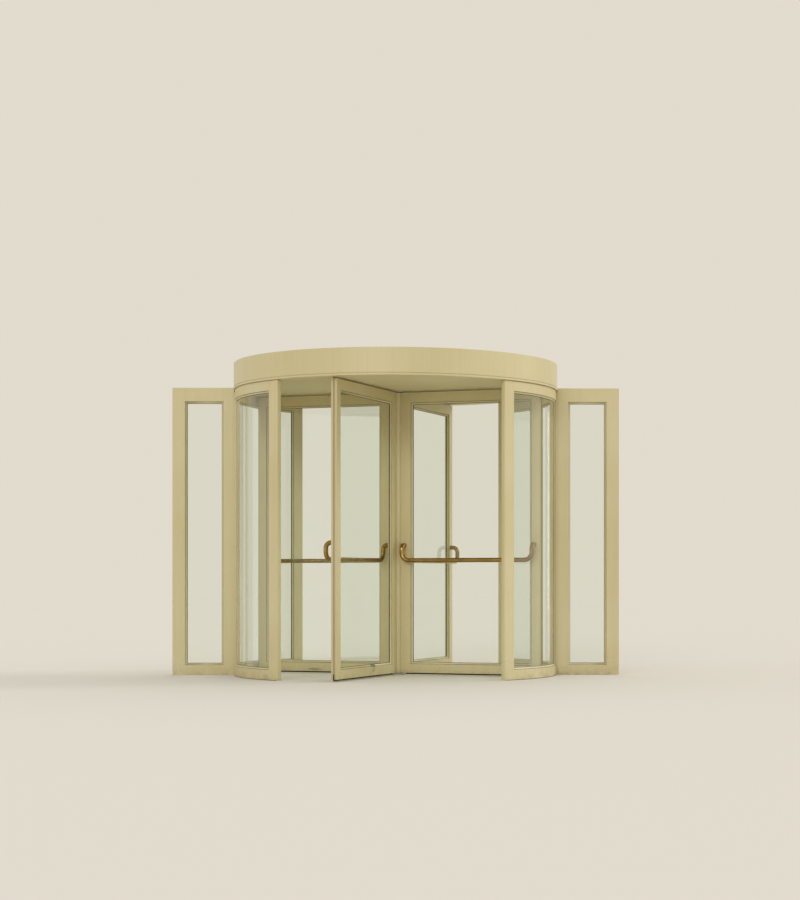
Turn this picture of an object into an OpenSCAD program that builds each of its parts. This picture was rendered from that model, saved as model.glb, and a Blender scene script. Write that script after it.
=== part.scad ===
// Revolving door: a curved glazed drum with two mouths, a round canopy, a flat
// sidelight on each side, and a rotor of four framed glass wings with bent push
// bars. Millimetres, +Z up. The origin lies on the floor at the drum's centre,
// and the outer mouth faces -Y.

/* [Drum] */
// Inner radius of the curved walls
drum_r = 1200; // [1000:5:1500]
// Radial thickness of the curved wall frames
wall_t = 42; // [38:1:60]
// Half angle of each mouth, from its middle to the edge of a mouth post
mouth_half = 42; // [36:0.5:44]
// Clear height from the floor to the ceiling
clear_h = 2200; // [2000:5:2400]
// Face width of a mouth post, measured along the curve
post_w = 95; // [60:1:130]
// Edge radius of a mouth post's nose
nose_r = 8; // [2:1:15]
// Face width of the post in the wall plane, measured along the curve
wall_post_w = 90; // [60:1:140]
// Face height of the curved sill
sill_h = 76; // [50:1:140]
// Face height of the curved head rail
head_h = 76; // [50:1:140]
// Height of the shadow groove between head rail and canopy
groove_h = 6; // [3:1:12]
// Depth of the shadow groove
groove_d = 5; // [2:1:12]

/* [Glazing] */
// Width of the glazing beads that frame every pane
bead_w = 14; // [10:1:24]
// Step from a frame's face down to the foot of the bead
bead_step = 4; // [2:1:8]
// Lip of the bead beside the glass
bead_lip = 3; // [1:0.5:5]
// Depth of the groove that holds the edge of a pane
glass_bite = 12; // [6:1:14]
// Thickness of the curved panes
curved_glass_t = 10; // [6:1:14]
// Thickness of the flat panes
flat_glass_t = 8; // [6:1:12]
// Clearance between a pane and its groove
glass_fit = 0.3; // [0.2:0.1:0.5]

/* [Canopy] */
// Height of the canopy
canopy_h = 200; // [120:5:400]
// Overhang of the canopy fascia past the drum's outer face
canopy_over = 10; // [6:1:40]
// Thickness of the fascia
fascia_t = 16; // [12:1:30]
// Height of the raised band along the fascia's lower edge
band_h = 14; // [8:1:30]
// How far the band stands proud of the fascia
band_proud = 2.5; // [1:0.5:6]
// Height of the fine groove above the band
line_h = 4; // [2:1:8]
// Depth of the fine groove
line_d = 4; // [2:1:8]
// Chamfer on the fascia's outer edges
fascia_edge = 2; // [1:0.5:4]
// Width of the flange that carries the fascia on the walls
flange_w = 30; // [20:1:40]
// Thickness of the carrying flange
flange_t = 8; // [4:1:15]
// Thickness of the ceiling panel
ceiling_t = 18; // [12:1:30]
// Thickness of the cover on top of the canopy
cover_t = 10; // [6:1:20]
// Depth of the cover below the fascia's upper edge
cover_drop = 4; // [0:1:15]

/* [Sidelights] */
// Width of a sidelight
side_w = 476; // [350:1:900]
// Height of a sidelight above the ceiling line
side_rise = 26; // [10:1:100]
// Depth of a sidelight frame
side_t = 60; // [40:1:90]
// Face width of the stile beside the drum
side_inner = 80; // [50:1:140]
// Face width of the stile beside the wall of the building
side_outer = 98; // [50:1:160]
// Face height of the sidelight's top rail
side_top = 106; // [50:1:160]
// Face height of the sidelight's bottom rail
side_bottom = 76; // [50:1:160]
// Gap between the canopy's band and a sidelight
side_gap = 2; // [1:0.5:6]

/* [Rotor] */
// Turn of the rotor at rest: how far the first wing stands off the mouth's middle
rotor_turn = 20; // [0:0.1:44]
// Diameter of the centre post
column_d = 104; // [90:1:140]
// Thickness of a wing
wing_t = 45; // [36:1:60]
// Face width of a wing's inner stile
wing_inner = 82; // [50:1:120]
// Face width of a wing's outer stile
wing_outer = 68; // [50:1:120]
// Face height of a wing's top rail
wing_top = 79; // [50:1:140]
// Face height of a wing's bottom rail
wing_bottom = 68; // [50:1:200]

/* [Brush seals] */
// Thickness of the brush seals
seal_t = 6; // [4:1:12]
// Depth of the groove that grips a seal
seal_grip = 8; // [5:1:12]
// Clearance between a seal and its groove
seal_fit = 0.2; // [0.1:0.1:0.5]
// Reach of the seal past a wing's outer edge
edge_seal = 14; // [8:1:25]
// Reach of the seal below a wing
lower_seal = 12; // [10:1:25]
// Reach of the seal above a wing
upper_seal = 6; // [5:1:25]
// Running gap between an outer seal and the curved wall
edge_gap = 6; // [5:0.5:12]
// Running gap between the floor and the lower seals
floor_gap = 5; // [5:0.5:12]
// Running gap between the upper seals and the ceiling
ceiling_gap = 5; // [5:0.5:12]
// Distance between a bearing and the end of a seal
seal_clear = 10; // [6:1:20]

/* [Push bars] */
// Diameter of the push bar tube
bar_d = 34; // [25:1:45]
// Height of the bar's centre line above the floor
bar_z = 888; // [800:1:1100]
// Distance from the face of the wing to the bar's centre line
bar_off = 62; // [50:1:90]
// Distance from the rotor's axis to the inner upright end
bar_in = 80; // [70:1:120]
// Distance from the wing's outer edge to the outer upright end
bar_out_inset = 46; // [20:1:60]
// Rise of the bent ends above the bar
bar_rise = 118; // [100:1:200]
// Bend radius from the bar to its upright ends
bend_up_r = 58; // [40:1:70]
// Bend radius from the upright ends back to the wing
bend_back_r = 40; // [30:1:50]

/* [Bearings] */
// Diameter of the floor plate
floor_plate_d = 140; // [100:1:200]
// Thickness of the floor plate
floor_plate_t = 6; // [4:1:8]
// Diameter of the floor plate's boss
floor_boss_d = 60; // [50:1:90]
// Height of the boss above the floor
floor_boss_h = 12; // [8:1:12]
// Diameter of the lower pivot pin
lower_pin_d = 28; // [20:1:40]
// Floor left under the pivot pin's bore
pin_floor = 2; // [1:0.5:3]
// Diameter of the upper pivot pin
upper_pin_d = 40; // [25:1:50]
// Diameter of the upper bearing's flange
ceiling_flange_d = 180; // [140:1:240]
// Thickness of the upper bearing's flange
ceiling_flange_t = 6; // [3:1:8]
// Diameter of the upper bearing's housing
housing_d = 120; // [80:1:130]
// Height of the housing above the ceiling's underside
housing_h = 90; // [60:1:110]
// Radial clearance of both pivot pins
pin_fit = 0.06; // [0.02:0.01:0.1]

/* [Hidden] */
$fn = 96;

paint = "#efe9d2";
glass_tint = "#c9dccb80";
bronze = "#a5814a";
brush = "#1d1c1a";
steel = "#b9bbb8";

// Gap left between faces that meet
touch = 0.3;
// Reach of a cut or a joined piece past the face it starts from
overlap = 1;

// Drum, seen in plan
wall_out = drum_r + wall_t;
wall_mid = drum_r + wall_t / 2;
function arc_angle(length, r) = length / r * 180 / PI;
post_start = -90 + mouth_half;
post_end = post_start + arc_angle(post_w, wall_out);
wall_post_end = arc_angle(wall_post_w / 2, wall_out);
curved_slot = curved_glass_t / 2 + glass_fit;
slot_floor = bead_w - glass_bite;
pane_inset = slot_floor + glass_fit;
pane_gap_z = sill_h + bead_w;
pane_gap_h = clear_h - head_h - bead_w - pane_gap_z;

// Canopy
canopy_r = wall_out + canopy_over;
band_r = canopy_r + band_proud;
canopy_top = clear_h + canopy_h;
fascia_in = canopy_r - fascia_t;
flange_in = fascia_in - flange_w;
line_z = clear_h + band_h;
cover_z = canopy_top - cover_drop - cover_t;

// Sidelights
side_x = band_r + side_gap;
side_h = clear_h + side_rise;

// Rotor
wing_r = drum_r - edge_gap - edge_seal;
wing_z0 = floor_gap + lower_seal;
wing_z1 = clear_h - ceiling_gap - upper_seal;
column_r = column_d / 2;
column_flat = sqrt(pow(column_r, 2) - pow(wing_t / 2 + overlap, 2));
wing_x = column_flat + touch;
wing_w = wing_r - wing_x;
wing_h = wing_z1 - wing_z0;
wing_slot = flat_glass_t / 2 + glass_fit;

// Brush seals
seal_outer = wing_r + edge_seal;
seal_top = clear_h - ceiling_gap;
lower_seal_x = floor_plate_d / 2 + seal_clear;
upper_seal_x = ceiling_flange_d / 2 + seal_clear;

// Push bars
bar_y = -(wing_t / 2 + bar_off);
bar_out = wing_r - bar_out_inset;

// Places the front right quarter of the drum in one of its four corners
module corner(left, rear) {
    mirror([left, 0, 0]) mirror([0, rear, 0]) children();
}

// Sweeps a radius and height outline between two angles round the axis
module sweep(from, to) {
    rotate([0, 0, from]) rotate_extrude(angle = to - from) children();
}

// Cross-section of a glazing bead: x into the pane's opening, y across the frame
module bead_outline(t, slot) {
    polygon([
        [-overlap, -t / 2 + bead_step], [0, -t / 2 + bead_step],
        [bead_w, -slot - bead_lip], [bead_w, slot + bead_lip],
        [0, t / 2 - bead_step], [-overlap, t / 2 - bead_step]
    ]);
}

// Rail with a bead and a pane slot: x across the frame, y from back to pane
module rail_outline(t, face, slot) {
    difference() {
        union() {
            square([t, face]);
            translate([t / 2, face]) rotate(90) bead_outline(t, slot);
        }
        translate([t / 2 - slot, face + slot_floor]) square([2 * slot, bead_w]);
    }
}

// Waste outside an edge radius: the piece lies towards -X and +Y of the corner
module edge_waste(r) {
    difference() {
        translate([-r, -overlap]) square(r + overlap);
        translate([-r, r]) circle(r = r);
    }
}

// Upright bead on a radial face, towards growing angles
module upright_bead() {
    translate([wall_mid, 0, pane_gap_z]) rotate([0, 0, 90])
        linear_extrude(pane_gap_h) bead_outline(wall_t, curved_slot);
}

// Slot in an upright bead for the edge of the curved pane
module upright_slot() {
    sweep(arc_angle(slot_floor, wall_mid), arc_angle(bead_w + overlap, wall_mid))
        translate([wall_mid - curved_slot, pane_gap_z]) square([2 * curved_slot, pane_gap_h]);
}

// Mouth post of the front right quarter, with a rounded nose and a bead for the pane
module mouth_post() {
    difference() {
        union() {
            sweep(post_start, post_end) translate([drum_r, 0]) square([wall_t, clear_h]);
            rotate([0, 0, post_end]) upright_bead();
        }
        rotate([0, 0, post_end]) upright_slot();
        rotate([0, 0, post_start]) translate([0, 0, -overlap]) linear_extrude(clear_h + 2 * overlap) {
            translate([wall_out, 0]) edge_waste(nose_r);
            translate([drum_r, 0]) mirror([1, 0]) edge_waste(nose_r);
        }
    }
}

// Right post in the wall plane, with a bead on both sides and a tongue to the sidelight
module wall_post() {
    difference() {
        union() {
            sweep(-wall_post_end, wall_post_end) translate([drum_r, 0]) square([wall_t, clear_h]);
            for (side = [0, 1]) {
                mirror([0, side, 0]) rotate([0, 0, wall_post_end]) upright_bead();
            }
            translate([wall_out - overlap, -side_t / 2, 0])
                cube([side_x - touch - wall_out + overlap, side_t, clear_h - groove_h]);
        }
        for (side = [0, 1]) {
            mirror([0, side, 0]) rotate([0, 0, wall_post_end]) upright_slot();
        }
    }
}

// Curved sill of the front right quarter
module curved_sill() {
    sweep(post_end, -wall_post_end) translate([drum_r, 0]) rail_outline(wall_t, sill_h, curved_slot);
}

// Curved head rail of the front right quarter, with the shadow groove at its top
module curved_head() {
    sweep(post_end, -wall_post_end) difference() {
        translate([drum_r, clear_h]) mirror([0, 1]) rail_outline(wall_t, head_h, curved_slot);
        translate([wall_out - groove_d, clear_h - groove_h]) square([2 * groove_d, 2 * groove_h]);
    }
}

// Curved pane of the front right quarter
module curved_glass() {
    inset = arc_angle(pane_inset, wall_mid);
    bottom = sill_h + pane_inset;
    top = clear_h - head_h - pane_inset;
    sweep(post_end + inset, -wall_post_end - inset)
        translate([wall_mid - curved_glass_t / 2, bottom]) square([curved_glass_t, top - bottom]);
}

// Outline of the canopy ring, from its carrying flange round the fascia to the cover's ledge
module canopy_outline() {
    polygon([
        [flange_in, clear_h],
        [band_r - fascia_edge, clear_h], [band_r, clear_h + fascia_edge], [band_r, line_z],
        [canopy_r - line_d, line_z], [canopy_r - line_d, line_z + line_h], [canopy_r, line_z + line_h],
        [canopy_r, canopy_top - fascia_edge], [canopy_r - fascia_edge, canopy_top],
        [fascia_in, canopy_top], [fascia_in, cover_z],
        [flange_in, cover_z], [flange_in, cover_z - flange_t], [fascia_in, cover_z - flange_t],
        [fascia_in, clear_h + flange_t], [flange_in, clear_h + flange_t]
    ]);
}

// Front half ring of the canopy
module canopy_half() {
    sweep(180, 360) canopy_outline();
}

// Ceiling panel: it hangs between the flanges and its lip rests on them
module ceiling() {
    color(paint) difference() {
        union() {
            translate([0, 0, clear_h]) cylinder(r = flange_in - touch, h = ceiling_t);
            translate([0, 0, clear_h + flange_t])
                cylinder(r = fascia_in - touch, h = ceiling_t - flange_t);
        }
        translate([0, 0, clear_h - overlap]) cylinder(d = housing_d + 2 * touch, h = ceiling_t + 2 * overlap);
    }
}

// Cover on top of the canopy, resting on the fascia's ledge
module canopy_cover() {
    color(paint) translate([0, 0, cover_z]) cylinder(r = fascia_in - touch, h = cover_t);
}

// Flat frame with beads and a pane slot, standing in the XZ plane from the origin
module framed_panel(w, h, t, left, right, bottom, top, slot) {
    open_w = w - left - right;
    open_h = h - bottom - top;
    difference() {
        union() {
            difference() {
                translate([0, -t / 2, 0]) cube([w, t, h]);
                translate([left, -t, bottom]) cube([open_w, 2 * t, open_h]);
            }
            translate([left, 0, bottom]) linear_extrude(open_h) bead_outline(t, slot);
            translate([w - right, 0, bottom]) linear_extrude(open_h) mirror([1, 0]) bead_outline(t, slot);
            translate([left, 0, bottom]) bead_along_x(open_w, t, slot);
            translate([left, 0, h - top]) mirror([0, 0, 1]) bead_along_x(open_w, t, slot);
        }
        translate([left + slot_floor, -slot, bottom + slot_floor])
            cube([open_w - 2 * slot_floor, 2 * slot, open_h - 2 * slot_floor]);
    }
}

// Bead that runs along X and rises from the XY plane
module bead_along_x(length, t, slot) {
    rotate([90, 0, 90]) linear_extrude(length) rotate(90) bead_outline(t, slot);
}

// Flat pane that fits the slot of a framed panel of the same sizes
module flat_pane(w, h, left, right, bottom, top) {
    translate([left + pane_inset, -flat_glass_t / 2, bottom + pane_inset])
        cube([w - left - right - 2 * pane_inset, flat_glass_t, h - bottom - top - 2 * pane_inset]);
}

// Right sidelight frame
module sidelight_frame() {
    color(paint) translate([side_x, 0, 0])
        framed_panel(side_w, side_h, side_t, side_inner, side_outer, side_bottom, side_top, wing_slot);
}

// Right sidelight pane
module sidelight_glass() {
    color(glass_tint) translate([side_x, 0, 0])
        flat_pane(side_w, side_h, side_inner, side_outer, side_bottom, side_top);
}

// Floor plate with the boss and the blind bore of the lower pivot
module floor_bearing() {
    color(steel) difference() {
        union() {
            cylinder(d = floor_plate_d, h = floor_plate_t);
            cylinder(d = floor_boss_d, h = floor_boss_h);
        }
        translate([0, 0, pin_floor]) cylinder(d = lower_pin_d + 2 * pin_fit, h = floor_boss_h);
    }
}

// Upper bearing: a flange under the ceiling and a housing that passes through it
module ceiling_bearing() {
    color(steel) difference() {
        union() {
            translate([0, 0, clear_h - ceiling_flange_t])
                cylinder(d = ceiling_flange_d, h = ceiling_flange_t);
            translate([0, 0, clear_h - overlap]) cylinder(d = housing_d, h = housing_h + overlap);
        }
        translate([0, 0, clear_h - ceiling_flange_t - overlap])
            cylinder(d = upper_pin_d + 2 * pin_fit, h = ceiling_flange_t + housing_h + 2 * overlap);
    }
}

// Places a wing and what rides on it: 0 is the wing left of the outer mouth's middle
module at_wing(i) {
    rotate([0, 0, -90 - rotor_turn + 90 * i]) children();
}

// Centre post with a flat for each wing and a pivot pin at both ends
module centre_post() {
    color(paint) {
        translate([0, 0, wing_z0]) linear_extrude(wing_h) difference() {
            circle(r = column_r);
            for (i = [0:3]) {
                at_wing(i) translate([column_flat, -column_r]) square([column_r, column_d]);
            }
        }
        translate([0, 0, pin_floor + touch])
            cylinder(d = lower_pin_d, h = wing_z0 - pin_floor);
        translate([0, 0, wing_z1 - overlap])
            cylinder(d = upper_pin_d, h = clear_h + housing_h - wing_z1);
    }
}

// Groove for the seals along the lower, outer and upper edges of a wing
module seal_groove() {
    depth = seal_grip + seal_fit;
    width = seal_t + 2 * seal_fit;
    difference() {
        translate([-overlap, -width / 2, -overlap]) cube([wing_w + 2 * overlap, width, wing_h + 2 * overlap]);
        translate([-2 * overlap, -width, depth])
            cube([wing_w - depth + 2 * overlap, 2 * width, wing_h - 2 * depth]);
    }
}

// Wing frame: stiles and rails round one tall pane, grooved for the seals
module wing_frame(i) {
    color(paint) at_wing(i) translate([wing_x, 0, wing_z0]) difference() {
        framed_panel(wing_w, wing_h, wing_t, wing_inner, wing_outer, wing_bottom, wing_top, wing_slot);
        seal_groove();
    }
}

// Wing pane
module wing_glass(i) {
    color(glass_tint) at_wing(i) translate([wing_x, 0, wing_z0])
        flat_pane(wing_w, wing_h, wing_inner, wing_outer, wing_bottom, wing_top);
}

// Brush seals below, outside and above a wing, gripped in its groove
module wing_seals(i) {
    inner_z0 = wing_z0 + seal_grip;
    inner_z1 = wing_z1 - seal_grip;
    color(brush) at_wing(i) translate([0, -seal_t / 2, 0]) {
        translate([lower_seal_x, 0, floor_gap])
            cube([seal_outer - lower_seal_x, seal_t, inner_z0 - floor_gap]);
        translate([wing_r - seal_grip, 0, floor_gap])
            cube([seal_grip + edge_seal, seal_t, seal_top - floor_gap]);
        translate([upper_seal_x, 0, inner_z1])
            cube([seal_outer - upper_seal_x, seal_t, seal_top - inner_z1]);
    }
}

// Bent tube from the bar's straight run up and back to the face of the wing
module bar_end() {
    upright = bar_rise - bend_up_r - bend_back_r;
    translate([-bend_up_r, 0, bend_up_r]) rotate([90, 90, 0])
        rotate_extrude(angle = 90) translate([bend_up_r, 0]) circle(d = bar_d);
    translate([0, 0, bend_up_r]) cylinder(d = bar_d, h = upright);
    translate([0, bend_back_r, bend_up_r + upright]) rotate([90, 0, 270])
        rotate_extrude(angle = 90) translate([bend_back_r, 0]) circle(d = bar_d);
    translate([0, bend_back_r, bar_rise]) rotate([-90, 0, 0])
        cylinder(d = bar_d, h = bar_off - bend_back_r - touch);
}

// Push bar on the trailing face of a wing
module push_bar(i) {
    color(bronze) at_wing(i) translate([0, bar_y, bar_z]) {
        translate([bar_in + bend_up_r, 0, 0]) rotate([0, 90, 0])
            cylinder(d = bar_d, h = bar_out - bar_in - 2 * bend_up_r);
        translate([bar_out, 0, 0]) bar_end();
        translate([bar_in, 0, 0]) mirror([1, 0, 0]) bar_end();
    }
}

for (left = [0, 1], rear = [0, 1]) {
    name = str(rear == 1 ? "rear" : "front", left == 1 ? "_left" : "_right");
    color(paint) corner(left, rear) mouth_post();
    color(paint) corner(left, rear) curved_sill();
    color(paint) corner(left, rear) curved_head();
    color(glass_tint) corner(left, rear) curved_glass();
}
color(paint) mirror([1, 0, 0]) wall_post();  // left_wall_post
color(paint) wall_post();  // right_wall_post
color(paint) canopy_half();  // canopy_front
color(paint) mirror([0, 1, 0]) canopy_half();  // canopy_rear
ceiling();
canopy_cover();
mirror([1, 0, 0]) sidelight_frame();  // left_sidelight_frame
sidelight_frame();  // right_sidelight_frame
mirror([1, 0, 0]) sidelight_glass();  // left_sidelight_glass
sidelight_glass();  // right_sidelight_glass
floor_bearing();
ceiling_bearing();
centre_post();
for (i = [0:3]) {
    wing_frame(i);
    wing_glass(i);
    wing_seals(i);
    push_bar(i);
}
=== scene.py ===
# Revolving door: finish of the drum, canopy, sidelights and rotor, laid over the fixed frame.
# Metres, z up. The origin is on the floor under the rotor's axis, and the outer mouth faces -y.
import bpy
import numpy as np
from math import asin, atan2, ceil, cos, degrees, pi, radians, sin
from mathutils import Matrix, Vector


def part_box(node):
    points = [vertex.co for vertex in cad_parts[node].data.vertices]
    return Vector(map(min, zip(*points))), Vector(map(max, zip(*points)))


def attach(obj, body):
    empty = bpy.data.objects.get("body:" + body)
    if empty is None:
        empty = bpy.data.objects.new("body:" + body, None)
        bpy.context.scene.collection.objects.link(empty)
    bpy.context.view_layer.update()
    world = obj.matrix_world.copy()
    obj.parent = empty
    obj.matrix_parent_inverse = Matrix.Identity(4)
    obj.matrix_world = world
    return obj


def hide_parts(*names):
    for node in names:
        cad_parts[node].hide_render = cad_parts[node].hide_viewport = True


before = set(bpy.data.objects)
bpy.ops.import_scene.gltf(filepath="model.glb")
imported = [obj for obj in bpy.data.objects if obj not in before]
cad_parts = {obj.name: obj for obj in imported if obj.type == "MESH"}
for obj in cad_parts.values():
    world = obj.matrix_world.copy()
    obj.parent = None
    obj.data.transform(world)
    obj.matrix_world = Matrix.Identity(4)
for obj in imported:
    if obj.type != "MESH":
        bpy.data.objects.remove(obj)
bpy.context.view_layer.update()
scene = bpy.context.scene
rng = np.random.default_rng(11)

# Sizes that several pieces share; some come from the frame
door = {
    "wallInner": 1.200,  # radii of the curved walls
    "wallOuter": 1.242,
    "ceiling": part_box("ceiling")[0][2],
    "top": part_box("canopy_front")[1][2],
    "bandRadius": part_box("canopy_front")[1][0],
    "mouthAngle": radians(-48),  # where the front right mouth post starts, seen in plan
    "edge": 0.0012,   # small radius that paint and tooling leave on the frames' edges
    "joint": 0.0002,  # hairline between two members of a frame
    "touch": 0.0003,  # clearance where one piece lies against another
}
wallMiddle = (door["wallInner"] + door["wallOuter"]) / 2
wallHalf = (door["wallOuter"] - door["wallInner"]) / 2


def linear(red, green, blue):
    # display colour from 0 to 255 into the renderer's linear light
    share = np.array([red, green, blue]) / 255
    value = np.where(share <= 0.04045, share / 12.92, ((share + 0.055) / 1.055) ** 2.4)
    return (*value.tolist(), 1.0)


# shapes

def unit(vectors):
    # each vector over its own length
    return vectors / np.linalg.norm(vectors, axis=1, keepdims=True)


def roundedOutline(corners, radii, steps=3):
    # closed outline: each corner becomes an arc that touches both of its sides
    # arc = sines of the shares of the turn, weighting the arms to its first and last point
    corner = np.asarray(corners, float)
    radius = np.broadcast_to(np.asarray(radii, float), len(corner))[:, None]
    back, ahead = (unit(np.roll(corner, way, axis=0) - corner) for way in (1, -1))
    half = np.arccos(np.clip(np.sum(back * ahead, axis=1, keepdims=True), -1, 1)) / 2
    centre = corner + unit(back + ahead) * radius / np.sin(half)
    first, last = ((corner + arm * radius / np.tan(half) - centre)[:, None] for arm in (back, ahead))
    turn = (pi - 2 * half)[:, None]
    share = np.linspace(0, 1, steps + 1)[None, :, None]
    arm = (np.sin((1 - share) * turn) * first + np.sin(share * turn) * last) / np.sin(turn)
    return (centre[:, None] + arm).reshape(-1, 2)


def rectangle(left, right, low, high, radii, steps=3):
    # rectangle with rounded corners, from its lower left one round
    return roundedOutline([(left, low), (right, low), (right, high), (left, high)], radii, steps)


def subdividedOutline(outline, longest):
    # closed outline with its long sides cut into equal parts no longer than asked
    ahead = np.roll(outline, -1, axis=0) - outline
    parts = np.maximum(1, np.ceil(np.linalg.norm(ahead, axis=1) / longest)).astype(int)
    side = np.repeat(np.arange(len(outline)), parts)
    first = np.repeat(np.cumsum(parts) - parts, parts)
    share = (np.arange(len(side)) - first) / parts[side]
    return outline[side] + ahead[side] * share[:, None]


def shellOf(rings, closed=False):
    # skin over rings of points: ring i and ring i + 1 are joined by four-sided faces all round
    # an open row of rings gets a cap at both ends
    rows, around = rings.shape[:2]
    i, j = np.meshgrid(np.arange(rows if closed else rows - 1), np.arange(around), indexing="ij")
    up, right = (i + 1) % rows, (j + 1) % around
    quads = np.stack([i * around + j, i * around + right, up * around + right, up * around + j], axis=-1)
    caps = [] if closed else [np.arange(around)[::-1], np.arange(around) + (rows - 1) * around]
    return {"points": rings.reshape(-1, 3), "quads": quads.reshape(-1, 4), "caps": caps}


def spreadPoints(x, y, z):
    # points of three values, each one spread over the arrays of the others
    return np.stack(np.broadcast_arrays(x, y, z), axis=-1)


def polar(radius, angle, height):
    # x and y are the radius times the angle's cosine and sine
    return spreadPoints(radius * np.cos(angle), radius * np.sin(angle), height)


def upright(outline, low, high):
    # outline in x and y, carried straight up z
    x, y = outline.T
    return shellOf(spreadPoints(x, y, np.array([[low], [high]])))


def level(outline, left, right, parts=1):
    # outline in z and y, carried along x
    z, y = outline.T
    return shellOf(spreadPoints(np.linspace(left, right, parts + 1)[:, None], y, z))


def aroundOpening(left, right, low, high, outline, parts=1):
    # outline (inward, across) carried round a rectangle in x and z, with mitred corners:
    # the inward arm is square to each side and runs along the diagonal at a corner
    x = np.linspace(left, right, parts + 1)
    arm = np.zeros(parts + 1)
    arm[0], arm[-1] = 1, -1
    x, arm = np.concatenate([x, x[::-1]]), np.concatenate([arm, arm[::-1]])
    z = np.repeat([low, high], parts + 1)
    rise = np.repeat([1.0, -1.0], parts + 1)
    inward, across = outline.T
    x, z = x[:, None] + arm[:, None] * inward, z[:, None] + rise[:, None] * inward
    return shellOf(spreadPoints(x, across, z), closed=True)


def roundAxis(outline, start, end, stepDegrees=2.0):
    # outline in radius and z, carried round the z axis; a whole turn closes on itself
    whole = abs(end - start) > 2 * pi - 1e-6
    parts = max(2, ceil(degrees(abs(end - start)) / stepDegrees))
    angle = np.linspace(start, end, parts + 1)[:parts if whole else parts + 1, None]
    return shellOf(polar(outline[:, 0], angle, outline[:, 1]), closed=whole)


def moved(shells, place):
    # each shell's points put where place sends their x, y and z
    return [{**shell, "points": place(*shell["points"].T)} for shell in shells]


def bentToDrum(shells):
    # flat panels bent round the z axis: x becomes arc length on the wall's middle, y the way out
    return moved(shells, lambda x, y, z: polar(wallMiddle + y, x / wallMiddle, z))


def flipped(shells, signX, signY):
    # mirrored where a sign is -1; pieceNormals turns the faces outwards again
    return moved(shells, lambda x, y, z: spreadPoints(x * signX, y * signY, z))


def turned(shells, angle):
    # turned round the z axis: new x and y are sums of the old ones by cosine and sine
    cosine, sine = cos(angle), sin(angle)
    return moved(shells, lambda x, y, z: spreadPoints(x * cosine - y * sine, x * sine + y * cosine, z))


def repeated(shell, points):
    # the faces of one small shell over many rows of points, all in one array
    shift = (np.arange(len(points)) * points.shape[1])[:, None]
    quads = (shell["quads"][None] + shift[:, None]).reshape(-1, 4)
    caps = [cap for end in shell["caps"] for cap in end + shift]
    return {"points": points.reshape(-1, 3), "quads": quads, "caps": caps}


def copies(shell, places, signZ=1):
    # one small shell set down at many places, upside down where the sign is -1
    return repeated(shell, shell["points"] * (1, 1, signZ) + places[:, None])


def pieceNormals(shell):
    # faces turned outwards by the sign of the enclosed volume, corner normals weighted by area
    # the last value tells whether the faces had to be reversed
    points, quads, caps = shell["points"], shell["quads"], shell["caps"]
    a, b, c, d = (points[quads[:, k]] for k in range(4))
    volume = np.sum(a * np.cross(b, c)) + np.sum(a * np.cross(c, d))
    for cap in caps:
        rim = points[cap]
        volume += np.sum(rim[0] * np.cross(rim[1:-1], rim[2:]))
    reverse = volume < 0
    if reverse:
        quads, caps = quads[:, ::-1], [cap[::-1] for cap in caps]
        a, b, c, d = (points[quads[:, k]] for k in range(4))
    area = np.cross(c - a, d - b)
    weighted = np.zeros_like(points)
    np.add.at(weighted, quads, area[:, None, :])
    weighted /= np.maximum(np.linalg.norm(weighted, axis=1, keepdims=True), 1e-12)
    corners, normals = [quads.ravel()], [weighted[quads.ravel()]]
    for cap in caps:
        rim = points[cap]
        out = np.sum(np.cross(rim[1:-1] - rim[0], rim[2:] - rim[0]), axis=0)
        corners.append(cap)
        normals.append(np.tile(out / np.linalg.norm(out), (len(cap), 1)))
    sizes = np.concatenate([np.full(len(quads), 4), [len(cap) for cap in caps]]).astype(int)
    return points, np.concatenate(corners), np.concatenate(normals), sizes, reverse


def addObject(name, data):
    # new object at the origin
    item = bpy.data.objects.new(name, data)
    scene.collection.objects.link(item)
    return item


def makePiece(name, shells, finish, nodes=(), body="drum"):
    # one mesh object from several closed shells; its finish pairs a record slot with a material, and the
    # piece takes the material
    # shells may tell the share of grime and painted shade at their points, and where stripes run
    points, corners, normals, sizes, reverse = zip(*(pieceNormals(shell) for shell in shells))
    offsets = np.cumsum([0] + [len(part) for part in points])
    corners = np.concatenate([part + offset for part, offset in zip(corners, offsets)]).astype(np.int32)
    points, normals, sizes = (np.concatenate(parts) for parts in (points, normals, sizes))
    mesh = bpy.data.meshes.new(name)
    mesh.vertices.add(len(points))
    mesh.vertices.foreach_set("co", points.astype(np.float32).ravel())
    mesh.loops.add(len(corners))
    mesh.loops.foreach_set("vertex_index", corners)
    mesh.polygons.add(len(sizes))
    mesh.polygons.foreach_set("loop_start", (np.cumsum(sizes) - sizes).astype(np.int32))
    mesh.polygons.foreach_set("use_smooth", np.ones(len(sizes), bool))
    mesh.update(calc_edges=True)
    mesh.normals_split_custom_set(normals.tolist())
    if "stripes" in shells[0]:  # texture places of its faces' corners, reversed with the faces
        stripes, place = shells[0]["stripes"], np.zeros((len(corners), 2), np.float32)
        place[:stripes.shape[0] * 4] = (stripes[:, ::-1] if reverse[0] else stripes).reshape(-1, 2)
        mesh.uv_layers.new(name="alongTube").data.foreach_set("uv", place.ravel())
    if any("grime" in shell for shell in shells):
        grime = np.concatenate([shell.get("grime", np.zeros(len(shell["points"]))) for shell in shells])
        mesh.attributes.new("grime", "FLOAT", "POINT").data.foreach_set("value", grime.astype(np.float32))
    slot, material = finish
    mesh.materials.append(material)
    piece = addObject(name, mesh)
    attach(piece, body)
    if nodes:
        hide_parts(*nodes)


def makeParts(name, parts, place, finishes, nodes, body="drum"):
    # one piece for each part, put in place: its own finish or the frame's, and its node if any
    for part, shells in parts.items():
        finish = finishes.get(part, finishes["Frame"])
        makePiece(name + part, place(shells), finish, nodes.get(part, ()), body)


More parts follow.
